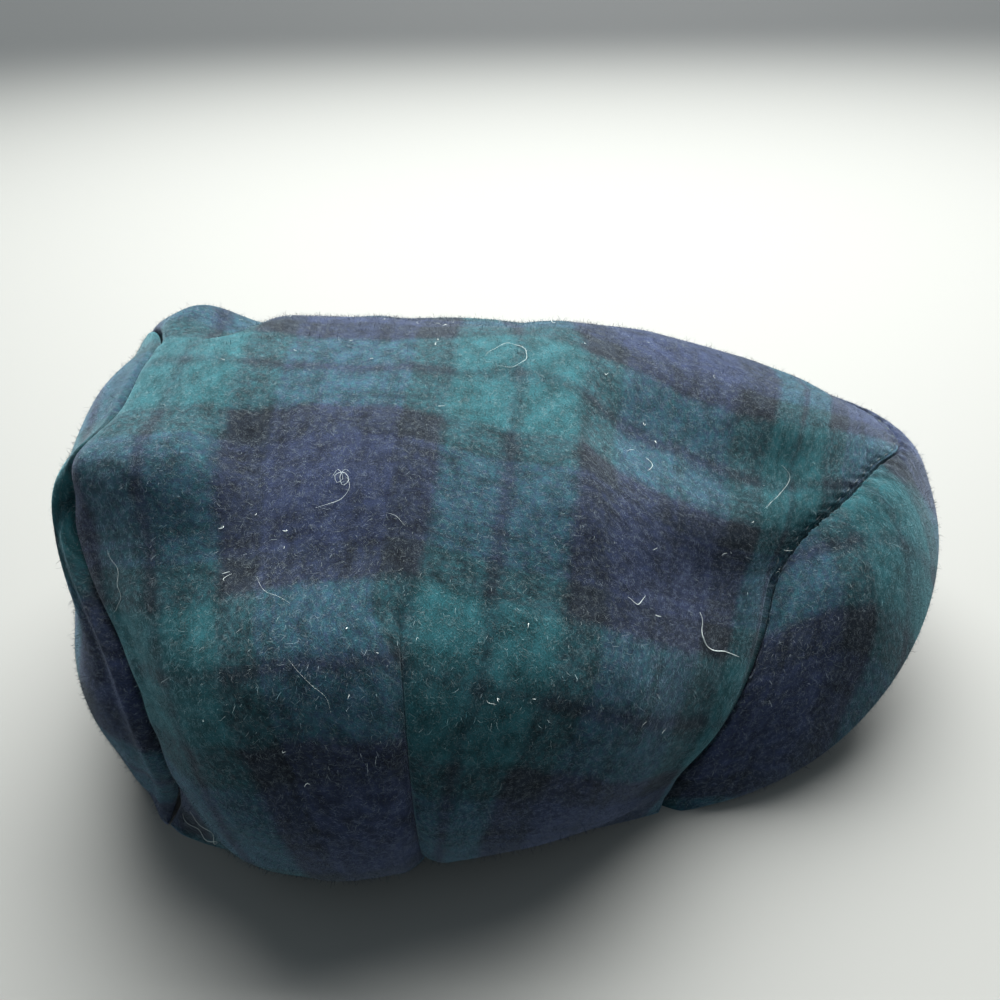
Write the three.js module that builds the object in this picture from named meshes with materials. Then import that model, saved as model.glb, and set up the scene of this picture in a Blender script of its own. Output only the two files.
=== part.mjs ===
// Flat cap of brushed wool cloth, lying on its rim as it would on a table.
// Millimetres, +Z up. The peak points to -Y and the wearer's right side faces -X.
// The origin is the middle of the base of the whole cap, on the surface it rests on.
//
// Three cloth pieces: the crown (top and sides in one), the back panel that closes
// it behind, and the stiff peak that the crown's front edge is stitched down to.

import * as THREE from 'three';

// ---------------------------------------------------------------- driving dimensions

const CROWN_WALL = 2.4;      // doubled wool cloth
const BACK_WALL = 2;         // the same, lying flatter
const PEAK_WALL = 3.6;       // cloth over a stiff board
const PEAK_HEM = 0.8;        // cloth past the ends of that board
const SEAM_GAP = 0.65;       // clearance between the crown's front edge and the peak
const BACK_GAP = 0.7;        // how far behind the crown the back panel starts
const BELT = 0.8;            // share of the way from ridge to rim where the crown is widest
const HALF_GIRTH = 178;      // length of cloth from the ridge down to the rim
const CORNER = 0.38;         // share of the way from ridge to rim where the back corner sits
const TUCK = THREE.MathUtils.degToRad(65);   // how far the side turns under before the rim

// Cross sections of the crown, from the back seam to its front edge.
// forward: place along the cap, top: height of the ridge, half: widest half width,
// belly: height of the widest line, foot: half width at the rim, square: 2 is an ellipse.
const SECTIONS = [
  { forward: -97, top: 98, half: 60, belly: 34, foot: 70, square: 2.2 },
  { forward: -84, top: 103, half: 74, belly: 30, foot: 79, square: 2.15 },
  { forward: -68, top: 105, half: 92, belly: 27, foot: 84.5, square: 2.1 },
  { forward: -45, top: 103, half: 103, belly: 26, foot: 87, square: 2.05 },
  { forward: -10, top: 100, half: 100, belly: 26, foot: 87, square: 2.05 },
  { forward: 30, top: 96, half: 95, belly: 26, foot: 86, square: 2.05 },
  { forward: 55, top: 92, half: 84, belly: 24, foot: 81, square: 2.1 },
  { forward: 80, top: 88, half: 74, belly: 16, foot: 71, square: 2.15 },
  { forward: 105, top: 83, half: 64, belly: 12, foot: 60, square: 2.25 },
  { forward: 130, top: 72, half: 47, belly: 14, foot: 44, square: 2.3 },
];

// Back seam: where the crown ends behind, from the ridge (0) down to the rim (1). The first
// row repeats the third on the other side, so that the seam crosses the ridge smoothly.
const BACK_SEAM = [
  { around: -0.2, forward: -90 },
  { around: 0, forward: -88 },
  { around: 0.2, forward: -90 },
  { around: 0.38, forward: -98 },
  { around: 0.6, forward: -83 },
  { around: 0.8, forward: -81 },
  { around: 1, forward: -91 },
];

// How far the back panel swells behind its seams, from the rim (0) to its top edge (1).
const BACK_SWELL = [
  { up: 0, depth: 0, round: 2.3 },
  { up: 0.2, depth: 14, round: 2.1 },
  { up: 0.42, depth: 28, round: 1.9 },
  { up: 0.62, depth: 23, round: 1.9 },
  { up: 0.86, depth: 15, round: 1.9 },
  { up: 0.95, depth: 8, round: 1.9 },
  { up: 1, depth: 0, round: 1.9 },
];
const BACK_RIM = { forward: -91, half: 74.5, depth: 21 };   // the rim's arc behind the ears
const BACK_CENTRE = new THREE.Vector3(0, 70, 35);           // in the hollow that the panel closes

// Lines of the peak, from its sewn edge (out 0) to its outer edge (out 1). Each is an arch:
// root: place of its two ends along the cap, reach: how far its middle runs forward of them,
// half: half width between the ends, round: roundness in plan, rise: height of its middle,
// foot: height of its ends, arch: squareness of the arch seen from the front.
const PEAK_LINES = [
  { out: 0, root: 30, reach: 44, half: 72, round: 2.6, rise: 38, foot: 10, arch: 5 },
  { out: 0.5, root: 46, reach: 70, half: 82, round: 2.05, rise: 63, foot: 3, arch: 3.6 },
  { out: 1, root: 50, reach: 95, half: 82, round: 2.1, rise: 49, foot: 0, arch: 1.6 },
];

const PEAK_SPAN = 0.975;     // share of those lines that is peak; its ends stop short of the rim
const BOARD_END = 0.84;      // share of those lines where the board inside has come to its end
const BOARD_FADE = 0.3;      // share over which the peak thins towards that end

// Front edge of the crown as it lies on the peak, from the ridge (0) down to the rim (1),
// with its first row repeated across the ridge as the back seam's is.
// side: place across the peak (0 middle, 1 end), out: place between its two edges.
const FRONT_EDGE = [
  { around: -0.06, side: -0.075, out: 0.68 },
  { around: 0, side: 0, out: 0.72 },
  { around: 0.06, side: 0.075, out: 0.68 },
  { around: 0.12, side: 0.14, out: 0.55 },
  { around: 0.22, side: 0.24, out: 0.39 },
  { around: 0.32, side: 0.31, out: 0.25 },
  { around: 0.42, side: 0.38, out: 0.17 },
  { around: 0.55, side: 0.52, out: 0.17 },
  { around: 0.7, side: 0.7, out: 0.2 },
  { around: 0.85, side: 0.86, out: 0.23 },
  { around: 1, side: 1, out: 0.42 },
];

// Folds, dents and swellings of the crown. Each runs along a straight line of the cloth
// between two points given as forward and across (cloth measured from the ridge, the
// wearer's right negative); height is outward, width and fade are how softly it ends.
const FOLDS = [
  { name: 'front hollow', from: [45, -27], to: [92, -31], width: 16, height: -7, fade: 16 },
  { name: 'hollow tip', from: [92, -28], to: [116, -16], width: 11, height: -3.6, fade: 12 },
  { name: 'front roll', from: [62, -52], to: [96, -62], width: 11, height: 4, fade: 14 },
  { name: 'far shoulder', from: [66, 28], to: [112, 24], width: 20, height: 6, fade: 26 },
  { name: 'far flat', from: [-40, 52], to: [12, 48], width: 22, height: -4, fade: 18 },
  { name: 'far hollow', from: [60, 58], to: [92, 44], width: 13, height: -4, fade: 14 },
  { name: 'right corner', from: [-90, -46], to: [-66, -42], width: 13, height: 6, fade: 10 },
  { name: 'corner valley', from: [-54, -36], to: [-62, -72], width: 10, height: -4, fade: 12 },
  { name: 'top saddle', from: [-70, 28], to: [-66, 60], width: 10, height: -5, fade: 12 },
  { name: 'left corner', from: [-86, 46], to: [-80, 54], width: 12, height: 5, fade: 10 },
  { name: 'side dip', from: [-49, -59], to: [-30, -58], width: 13, height: -3, fade: 14 },
  { name: 'right dart', from: [-19, -170], to: [-19, -76], width: 6, height: -1.2, fade: 8 },
  { name: 'left dart', from: [-19, 170], to: [-19, 76], width: 6, height: -1.2, fade: 8 },
  { name: 'right belly', from: [-50, -84], to: [30, -97], width: 18, height: 2, fade: 20 },
  { name: 'left belly', from: [-50, 88], to: [24, 95], width: 18, height: 1.5, fade: 20 },
];

// Mesh density: stations along each piece and across it.
const CROWN_GRID = { along: 29, across: 56 };
const BACK_GRID = { along: 14, across: 22 };
const PEAK_GRID = { along: 10, across: 36 };

// ------------------------------------------------------------------------ small tools

// Value of one column of a table at x: a cubic through the rows, whose slope at each row
// is the average of its neighbours, and straight lines past the two ends.
function column(table, place, value, x) {
  const last = table.length - 1;
  const at = (i) => table[i][place];
  const y = (i) => table[i][value];
  const secant = (i) => (y(i + 1) - y(i)) / (at(i + 1) - at(i));
  const slope = (i) => {
    if (i === 0) return secant(0);
    if (i === last) return secant(last - 1);
    const before = at(i) - at(i - 1);
    const after = at(i + 1) - at(i);
    return (secant(i - 1) * after + secant(i) * before) / (before + after);
  };
  if (x <= at(0)) return y(0) + (x - at(0)) * slope(0);
  if (x >= at(last)) return y(last) + (x - at(last)) * slope(last);
  let i = 0;
  while (x > at(i + 1)) i += 1;
  const h = at(i + 1) - at(i);
  const s = (x - at(i)) / h;
  const rise = s * s * (3 - 2 * s);
  return y(i) * (1 - rise) + y(i + 1) * rise
    + h * s * (1 - s) * ((1 - s) * slope(i) - s * slope(i + 1));
}

function smooth(x) {
  const s = THREE.MathUtils.clamp(x, 0, 1);
  return s * s * (3 - 2 * s);
}

// Radius of a superellipse of unit half axes at an angle from its upright axis.
function superRadius(angle, power) {
  const across = Math.abs(Math.sin(angle)) ** power;
  const upright = Math.abs(Math.cos(angle)) ** power;
  return (across + upright) ** (-1 / power);
}

// A point given by how far forward, to the wearer's left and up it lies.
function point(forward, left, up) {
  return new THREE.Vector3(left, -forward, up);
}

// Grid of points from a function of two shares, along and across, each from 0 to 1.
function grid({ along, across }, place) {
  const rows = [];
  for (let i = 0; i <= along; i += 1) {
    const row = [];
    for (let j = 0; j <= across; j += 1) row.push(place(i / along, j / across));
    rows.push(row);
  }
  return rows;
}

// Unit normals of a grid, from the directions to each point's neighbours.
function normals(rows) {
  const near = (i, n) => THREE.MathUtils.clamp(i, 0, n - 1);
  return rows.map((row, i) => row.map((_, j) => {
    const above = rows[near(i + 1, rows.length)][j];
    const below = rows[near(i - 1, rows.length)][j];
    const right = row[near(j + 1, row.length)];
    const left = row[near(j - 1, row.length)];
    const down = new THREE.Vector3().subVectors(above, below);
    return down.cross(new THREE.Vector3().subVectors(right, left)).normalize();
  }));
}

// Closed wall: the outer grid, its copy moved inwards against the outward directions by the
// thickness, which may differ across the piece, and the strips that join their four edges.
// The surface that the wall rests on cuts it off flat.
function wall(rows, outward, thickness) {
  const across = rows[0].length;
  const inner = rows.map((row, i) => row.map((p, j) => {
    const q = p.clone().addScaledVector(outward[i][j], -thickness(j / (across - 1)));
    q.z = p.z < 0.01 ? 0 : Math.max(q.z, 0);
    return q;
  }));
  const points = [...rows.flat(), ...inner.flat()];
  const offset = rows.length * across;
  const faces = [];
  const quad = (a, b, c, d) => faces.push(a, b, c, a, c, d);
  for (let i = 0; i < rows.length - 1; i += 1) {
    for (let j = 0; j < across - 1; j += 1) {
      const a = i * across + j;
      const b = a + across;
      quad(a, b, b + 1, a + 1);
      quad(offset + a, offset + a + 1, offset + b + 1, offset + b);
    }
  }
  const strip = (a, b) => quad(a, offset + a, offset + b, b);
  const corner = (rows.length - 1) * across;
  for (let j = 0; j < across - 1; j += 1) {
    strip(j + 1, j);
    strip(corner + j, corner + j + 1);
  }
  for (let i = 0; i < rows.length - 1; i += 1) {
    const a = i * across;
    strip(a, a + across);
    strip(a + 2 * across - 1, a + across - 1);
  }
  const geometry = new THREE.BufferGeometry();
  geometry.setAttribute('position', new THREE.Float32BufferAttribute(
    points.flatMap((p) => [p.x, p.y, p.z]), 3));
  geometry.setIndex(faces);
  return geometry;
}

// ------------------------------------------------------------------------------- peak

// Point of the peak's upper face. side: -1 to 1 across it, out: 0 sewn edge to 1 outer edge.
// A parabola through the three lines of the peak.
function peakPoint(side, out) {
  const angle = side * Math.PI / 2;
  const [sewn, middle, outer] = PEAK_LINES.map((line) => {
    const radius = superRadius(angle, line.round);
    const left = line.half * radius * Math.sin(angle);
    const up = Math.max(1 - (Math.abs(left) / line.half) ** line.arch, 0);
    const forward = line.root + line.reach * radius * Math.cos(angle);
    return point(forward, left, line.foot + (line.rise - line.foot) * up);
  });
  return new THREE.Vector3()
    .addScaledVector(sewn, 2 * (out - 0.5) * (out - 1))
    .addScaledVector(middle, 4 * out * (1 - out))
    .addScaledVector(outer, 2 * out * (out - 0.5));
}

// The ends of the peak take the normal of the line just inside them.
function peakNormal(place, out) {
  const step = 0.001;
  const side = THREE.MathUtils.clamp(place, -0.96, 0.96);
  const across = peakPoint(side + step, out).sub(peakPoint(side - step, out));
  const along = peakPoint(side, out + step).sub(peakPoint(side, out - step));
  return along.cross(across).normalize();
}

// The board ends short of the peak's two ends, where only the cloth goes on.
function peakWall() {
  const side = (across) => PEAK_SPAN * (2 * across - 1);
  const rows = grid(PEAK_GRID, (along, across) => peakPoint(side(across), along));
  const board = (across) => smooth((BOARD_END - Math.abs(side(across))) / BOARD_FADE);
  return wall(rows, normals(rows), (across) => PEAK_HEM + (PEAK_WALL - PEAK_HEM) * board(across));
}

// ------------------------------------------------------------------------------ crown

// Point of the plain crown, before its folds. around: -1 right rim, 0 ridge, 1 left rim.
// Above the belt a superellipse, below it an ellipse that turns under to the rim.
function crownSection(forward, around) {
  const part = (value) => column(SECTIONS, 'forward', value, forward);
  const share = Math.abs(around);
  const belly = part('belly');
  const half = part('half');
  if (share <= BELT) {
    const angle = share / BELT * Math.PI / 2;
    const radius = superRadius(angle, part('square'));
    const left = Math.sign(around) * half * radius * Math.sin(angle);
    return point(forward, left, belly + (part('top') - belly) * radius * Math.cos(angle));
  }
  const angle = (share - BELT) / (1 - BELT) * TUCK;
  const inward = (1 - Math.cos(angle)) / (1 - Math.cos(TUCK));
  const left = half + (part('foot') - half) * inward;
  return point(forward, Math.sign(around) * left, belly * (1 - Math.sin(angle) / Math.sin(TUCK)));
}

function backSeamForward(around) {
  return column(BACK_SEAM, 'around', 'forward', Math.abs(around));
}

// Height that the folds add at one place of the cloth: along each fold's line full height,
// beside it and past its ends falling off as a bell curve.
function foldHeight(forward, around) {
  const across = around * HALF_GIRTH;
  let height = 0;
  for (const { from, to, width, height: full, fade } of FOLDS) {
    const run = [to[0] - from[0], to[1] - from[1]];
    const length = Math.hypot(run[0], run[1]);
    const place = [forward - from[0], across - from[1]];
    const along = (place[0] * run[0] + place[1] * run[1]) / length;
    const beside = (place[1] * run[0] - place[0] * run[1]) / length;
    const past = Math.max(-along, along - length, 0);
    height += full * Math.exp(-((beside / width) ** 2) - (past / fade) ** 2);
  }
  return height;
}

// Where the crown's front edge lies on the peak, resting on it with the seam gap, and the
// direction that it faces there.
function frontEdge(around) {
  const share = Math.abs(around);
  const side = Math.sign(around) * column(FRONT_EDGE, 'around', 'side', share);
  const out = column(FRONT_EDGE, 'around', 'out', share);
  const outward = peakNormal(side, out);
  const edge = peakPoint(side, out).addScaledVector(outward, CROWN_WALL + SEAM_GAP);
  edge.z = share === 1 ? 0 : Math.max(edge.z, 0);
  return { edge, outward };
}

// The crown: sections from the back seam to the front edge, folded, with its last
// stretch drawn onto the line where it is stitched to the peak. The folds flatten there.
function crownWall() {
  const drawn = 0.55;
  const around = (across) => 2 * across - 1;
  const fronts = grid({ along: 0, across: CROWN_GRID.across }, (_, across) => frontEdge(around(across)));
  const plain = grid(CROWN_GRID, (along, across) => {
    const back = backSeamForward(around(across));
    const front = -frontEdge(around(across)).edge.y;
    return crownSection(back + (front - back) * along, around(across));
  });
  const last = plain[CROWN_GRID.along];
  const lift = normals(plain);
  const rows = plain.map((row, i) => row.map((p, j) => {
    const place = around(j / CROWN_GRID.across);
    const pull = smooth((i / CROWN_GRID.along - drawn) / (1 - drawn)) ** 1.3;
    const free = smooth((1 - Math.abs(place)) / 0.12) * (1 - 0.6 * pull - 0.4 * pull ** 8);
    const q = p.clone().addScaledVector(lift[i][j], foldHeight(-p.y, place) * free);
    return q.addScaledVector(fronts[0][j].edge.clone().sub(last[j]), pull);
  }));
  const outward = normals(rows);
  outward[CROWN_GRID.along] = fronts[0].map((front) => front.outward);
  return wall(rows, outward, () => CROWN_WALL);
}

// ------------------------------------------------------------------------- back panel

// The back panel fills the arch of the back seam: a patch between its two side seams, its
// top seam and the rim, swollen backwards.
function backPoint(up, across) {
  const side = 2 * across - 1;
  const seam = (around) => crownSection(backSeamForward(around), around);
  const rim = (s) => point(
    BACK_RIM.forward - BACK_RIM.depth * Math.sqrt(Math.max(1 - s * s, 0)), BACK_RIM.half * s, 0);
  const sides = 1 - up * (1 - CORNER);
  const blend = (a, b, s) => a.clone().lerp(b, s);
  const bySides = blend(seam(-sides), seam(sides), across);
  const byEnds = blend(rim(side), seam(side * CORNER), up);
  const byCorners = blend(blend(rim(-1), rim(1), across), blend(seam(-CORNER), seam(CORNER), across), up);
  const round = column(BACK_SWELL, 'up', 'round', up);
  const swell = (1 - Math.abs(side) ** round) ** (1 / round);
  const patch = bySides.add(byEnds).sub(byCorners);
  patch.y += column(BACK_SWELL, 'up', 'depth', up) * swell + BACK_GAP;
  patch.z = up === 0 ? 0 : Math.max(patch.z, 0);
  return patch;
}

// Stations crowd towards the top and side seams, where the cloth turns fastest, and the wall's
// thickness is measured towards a point in the head hollow.
function backWall() {
  const turn = (share) => Math.sin(share * Math.PI / 2);
  const rows = grid(BACK_GRID, (along, across) => (
    backPoint(turn(1 - along), 0.5 + turn(1 - 2 * across) / 2)));
  const outward = rows.map((row) => row.map((p) => p.clone().sub(BACK_CENTRE).normalize()));
  return wall(rows, outward, () => BACK_WALL);
}

// --------------------------------------------------------------------------- assembly

const CLOTH = { color: 0x16303c, roughness: 0.95, metalness: 0 };

function piece(name, geometry) {
  const mesh = new THREE.Mesh(geometry, new THREE.MeshStandardMaterial(CLOTH));
  mesh.name = name;
  return mesh;
}

const group = new THREE.Group();
group.add(piece('crown', crownWall()));
group.add(piece('back_panel', backWall()));
group.add(piece('peak', peakWall()));

const box = new THREE.Box3().setFromObject(group);
const middle = box.getCenter(new THREE.Vector3());
group.position.set(-middle.x, -middle.y, -box.min.z);
group.updateMatrixWorld(true);

export default group;
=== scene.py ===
"""Flat cap of brushed tartan wool, lying on its rim.

The peak, the crown and the back panel are worked out from the same lines and sections as
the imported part, with their seams, darts and raised nap added. Metres, +Z up, peak towards -Y.
"""

import math

import bpy
import numpy as np
from mathutils import Matrix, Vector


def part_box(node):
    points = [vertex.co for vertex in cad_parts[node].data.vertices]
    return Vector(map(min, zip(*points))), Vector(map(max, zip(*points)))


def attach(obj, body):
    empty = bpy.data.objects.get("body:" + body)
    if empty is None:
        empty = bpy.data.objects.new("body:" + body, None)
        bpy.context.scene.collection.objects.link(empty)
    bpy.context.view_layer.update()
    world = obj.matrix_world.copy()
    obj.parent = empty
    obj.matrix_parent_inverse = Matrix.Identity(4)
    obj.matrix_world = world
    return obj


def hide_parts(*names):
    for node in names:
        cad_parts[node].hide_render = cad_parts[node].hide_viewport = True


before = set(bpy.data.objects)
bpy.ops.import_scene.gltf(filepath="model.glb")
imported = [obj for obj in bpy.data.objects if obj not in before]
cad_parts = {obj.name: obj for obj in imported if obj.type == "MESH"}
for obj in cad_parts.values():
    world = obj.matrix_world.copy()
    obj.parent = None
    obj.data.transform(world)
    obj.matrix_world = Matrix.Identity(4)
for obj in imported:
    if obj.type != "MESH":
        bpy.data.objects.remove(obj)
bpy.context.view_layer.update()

# ======================== peak
# The stiff peak: a board covered in tartan wool, its cloth drawn smoothly over the edge.
# The crown's front edge is stitched down to it, and its two ends taper out of sight there.

MM = 0.001
PEAK_TIP = 145                                    # how far forward the peak reaches
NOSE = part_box("peak")[0][1] + PEAK_TIP * MM       # place of "forward 0" along Y


def table(names, rows):
    """Rows of numbers as dictionaries with these names."""
    return [dict(zip(names.split(), row)) for row in rows]


# Lines of the peak, from its sewn edge (out 0) to its outer edge (out 1). Each is an arch.
PEAK_LINES = table("out root reach half round rise foot arch", [
    (0, 30, 44, 72, 2.6, 38, 10, 5),
    (0.5, 46, 70, 82, 2.05, 63, 3, 3.6),
    (1, 50, 95, 82, 2.1, 49, 0, 1.6),
])
PEAK_SPAN = 0.99                 # share of the lines' half width that is made
BOARD_END, BOARD_FADE = 0.84, 0.3        # share where the board ends, and over which it thins
PEAK_WALL, PEAK_HEM = 3.6, 0.8           # thickness over the board, and of the cloth alone

# Front edge of the crown as it lies on the peak, from the ridge (0) down to the rim (1).
FRONT_EDGE = table("around side out", [
    (-0.06, -0.075, 0.68),
    (0, 0, 0.72),
    (0.06, 0.075, 0.68),
    (0.12, 0.14, 0.55),
    (0.22, 0.24, 0.39),
    (0.32, 0.31, 0.25),
    (0.42, 0.38, 0.17),
    (0.55, 0.52, 0.17),
    (0.7, 0.7, 0.2),
    (0.85, 0.86, 0.23),
    (1, 1, 0.42),
])
STITCH = 4.3             # cloth from one stitch of that edge to the next
THREADS = 300            # threads in one repeat of the tartan, which is one unit of the UV map
EVERY = 3                # cells of a wall's outer face to one cell of its plain inner face


def column(rows, place, value, x):
    """A table's column at x: the cubic through its rows whose slope at a row is the mean of
    the neighbouring secants weighted by each other's span, and straight lines past the ends."""
    at = np.array([row[place] for row in rows], float)
    y = np.array([row[value] for row in rows], float)
    x = np.asarray(x, float)
    span = np.diff(at)
    secant = np.diff(y) / span
    inner = (secant[:-1] * span[1:] + secant[1:] * span[:-1]) / (span[1:] + span[:-1])
    slope = np.concatenate([secant[:1], inner, secant[-1:]])
    i = np.clip(np.searchsorted(at, x, side="right") - 1, 0, len(at) - 2)
    s = (x - at[i]) / span[i]
    rise = s * s * (3 - 2 * s)
    bend = span[i] * s * (1 - s) * ((1 - s) * slope[i] - s * slope[i + 1])
    curve = y[i] * (1 - rise) + y[i + 1] * rise + bend
    curve = np.where(x < at[0], y[0] + (x - at[0]) * slope[0], curve)
    return np.where(x > at[-1], y[-1] + (x - at[-1]) * slope[-1], curve)


def smooth(x):
    """0 below 0, 1 above 1, and 3x2 - 2x3 between."""
    s = np.clip(x, 0, 1)
    return s * s * (3 - 2 * s)


def bell(x):
    """exp(-x2), a bump of height 1 and half width 1."""
    return np.exp(-np.square(x))


def super_radius(angle, power):
    """Radius of the unit superellipse |sin|^p + |cos|^p = 1 along a direction."""
    return (np.abs(np.sin(angle)) ** power + np.abs(np.cos(angle)) ** power) ** (-1 / power)


def unit(ways, speck=0):
    """Directions as vectors one long. A speck of extra length lets some have none at all."""
    return ways / (np.linalg.norm(ways, axis=-1, keepdims=True) + speck)


def away_from(inside, points, normals):
    """The normals at some points, each turned away from a point inside."""
    outward = ((points - np.array(inside, float)) * normals).sum(-1, keepdims=True)
    return np.where(outward < 0, -normals, normals)


def facing(points, inside):
    """Unit normals of a grid, from the directions to its neighbours, away from a point."""
    normals = np.cross(np.gradient(points, axis=0), np.gradient(points, axis=1))
    return away_from(inside, points, unit(normals, 1e-12))


def stations(count, spots):
    """Shares from 0 to 1 that crowd round some spots. Their density is 1 plus, for each
    spot (place, how much, how wide), much * exp(-|x - place| / wide)."""
    fine = np.linspace(0, 1, 4001)
    density = 1 + sum(much * np.exp(-np.abs(fine - place) / wide) for place, much, wide in spots)
    total = np.concatenate([[0], np.cumsum((density[1:] + density[:-1]) / 2)])
    return np.interp(np.linspace(0, 1, count), total / total[-1], fine)


def on_table(*grids):
    """Lifts points that would be under the table onto it, in place."""
    for points in grids:
        points[..., 2] = np.maximum(points[..., 2], 0)


def rolled(distance, radius):
    """Depth of a quarter round of that radius, at a distance from the edge it turns over."""
    inside = np.clip(radius - distance, 0, radius)
    return radius - np.sqrt(np.maximum(radius * radius - inside * inside, 0))


def lengths(points, axis):
    """Length of cloth from the start of the grid, along one of its two directions."""
    steps = np.linalg.norm(np.diff(points, axis=axis), axis=-1)
    pad = [(0, 0), (0, 0)]
    pad[axis] = (1, 0)
    return np.pad(np.cumsum(steps, axis=axis), pad)


def placed(points):
    """Points given as millimetres forward, to the wearer's left and up, in the part's frame."""
    return np.stack([points[..., 1] * MM, NOSE - points[..., 0] * MM, points[..., 2] * MM], -1)


def shown(name, data):
    """A new object with that data, in the scene."""
    thing = bpy.data.objects.new(name, data)
    bpy.context.scene.collection.objects.link(thing)
    return thing


def mesh_piece(name, points, faces, cloth, material):
    """A smooth-shaded mesh object from corner points, faces and the cloth place of each."""
    mesh = bpy.data.meshes.new(name)
    mesh.from_pydata(placed(points), [], faces)
    corners = np.zeros(len(mesh.loops), np.int32)
    mesh.loops.foreach_get("vertex_index", corners)
    layer = mesh.uv_layers.new(name="cloth")
    layer.data.foreach_set("uv", (cloth[corners] / THREADS).astype(np.float32).ravel())
    mesh.polygons.foreach_set("use_smooth", np.ones(len(mesh.polygons), bool))
    mesh.materials.append(material)
    mesh.update()
    return shown(name, mesh)


def turned_out(points, faces):
    """The same faces, turned over if together they enclose a negative volume."""
    corners = np.array([(*f, f[-1])[:4] for f in faces])
    a, b, c, d = (placed(points) - placed(points).mean(0))[corners].transpose(1, 0, 2)
    volume = (np.cross(a, b) * c).sum() + (np.cross(a, c) * d).sum()
    return faces if volume > 0 else [f[::-1] for f in faces]


def cloth_wall(name, outer, inner, cloth, material):
    """A closed wall of cloth, with its faces outwards. Its outer grid has EVERY times the cells
    of its inner one both ways, and fans of triangles join the outlines of the two."""
    rows, cols = outer.shape[:2]
    low, narrow = inner.shape[:2]
    base = rows * cols

    def quads(n, m, start, turned):
        a = start + (np.arange(n - 1)[:, None] * m + np.arange(m - 1)[None]).ravel()
        loop = np.stack([a, a + m, a + m + 1, a + 1], 1)
        return loop[:, ::-1] if turned else loop

    def outline(n, m, start):
        i = np.arange(n * m).reshape(n, m) + start
        return np.concatenate([i[0, :-1], i[:-1, -1], i[-1, :0:-1], i[:0:-1, 0]])

    near, far = outline(rows, cols, 0), outline(low, narrow, base)
    first = np.repeat(far, EVERY)
    second = np.repeat(np.roll(far, -1), EVERY)
    middle = np.tile(np.arange(EVERY) < (EVERY + 1) // 2, len(far))
    fan = np.stack([near, np.roll(near, -1), np.where(middle, first, second)], 1)
    close = near[np.arange(len(far)) * EVERY + (EVERY + 1) // 2]
    gap = np.stack([close, np.roll(far, -1), far], 1)
    faces = [*quads(rows, cols, 0, False).tolist(), *quads(low, narrow, base, True).tolist(),
             *fan.tolist(), *gap.tolist()]
    points = np.concatenate([outer.reshape(-1, 3), inner.reshape(-1, 3)])
    places = np.concatenate([cloth.reshape(-1, 2), cloth[::EVERY, ::EVERY].reshape(-1, 2)])
    return mesh_piece(name, points, turned_out(points, faces), places, material)


def add(tree, kind, sockets=None, **settings):
    """A node with its settings, whose inputs are values or the outputs that feed them."""
    node = tree.nodes.new(kind)
    for name, value in settings.items():
        setattr(node, name, value)
    for name, value in (sockets or {}).items():
        if isinstance(value, bpy.types.NodeSocket):
            tree.links.new(value, node.inputs[name])
        else:
            node.inputs[name].default_value = value
    return node


def maths(tree, operation, *values):
    """A Math node's result."""
    return add(tree, "ShaderNodeMath", dict(enumerate(values)), operation=operation).outputs[0]


def vectors(tree, operation, *values, **named):
    """A Vector Math node's result."""
    sockets = dict(enumerate(values)) | named
    return add(tree, "ShaderNodeVectorMath", sockets, operation=operation).outputs[0]


def noise(tree, place, scale, detail, **more):
    """The results of a noise texture at a place."""
    sockets = {"Vector": place, "Scale": scale, "Detail": detail, **more}
    return add(tree, "ShaderNodeTexNoise", sockets).outputs


def ranged(tree, value, low, high, first=0.0, last=1.0, **settings):
    """A value carried from the range low to high into first to last, and held at its ends."""
    sockets = dict(enumerate((value, low, high, first, last)))
    return add(tree, "ShaderNodeMapRange", sockets, **settings).outputs[0]


def mixed(tree, share, one, other):
    """Two colours mixed, with that share of the other."""
    return add(tree, "ShaderNodeMix", {0: share, 6: one, 7: other}, data_type="RGBA").outputs[2]


def new_group(name, takes, gives):
    """A shader group with these sockets: the group, what comes into it and what goes out."""
    group = bpy.data.node_groups.new(name, "ShaderNodeTree")
    for way, sockets in (("INPUT", takes), ("OUTPUT", gives)):
        for socket, kind in sockets.items():
            group.interface.new_socket(socket, in_out=way, socket_type="NodeSocket" + kind)
    entry, leave = group.nodes.new("NodeGroupInput"), group.nodes.new("NodeGroupOutput")
    return group, entry.outputs, leave.inputs


# Dyed yarns, and the order in which they lie from the middle of one blue block to the
# middle of the next: the number of threads of each. The order then runs back again.
GREEN, BLUE, BLACK = (0.012, 0.054, 0.065), (0.016, 0.023, 0.050), (0.008, 0.012, 0.019)
PINE, NAVY = (0.008, 0.020, 0.028), (0.012, 0.017, 0.034)       # fine lines, half lost in the nap
SETT = [(2, BLUE), (4, NAVY), (22, BLUE), (20, BLACK), (24, GREEN), (6, PINE), (24, GREEN),
        (20, BLACK), (4, BLUE), (4, NAVY), (4, BLUE), (4, NAVY), (12, BLUE)]
SOFT_EDGE = 3.4                  # threads from the middle of a stripe's edge to its full colour
WAVER = 4.0                      # threads that the stripes wander
PALE_FIBRE, GLOW = (0.42, 0.50, 0.52, 1), (0.86, 0.93, 1.0, 1)   # of pale fibres, of the sheen
PALE_ON_CLOTH, PALE_IN_NAP = 0.08, 0.32          # how much the pale fibres show


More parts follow.
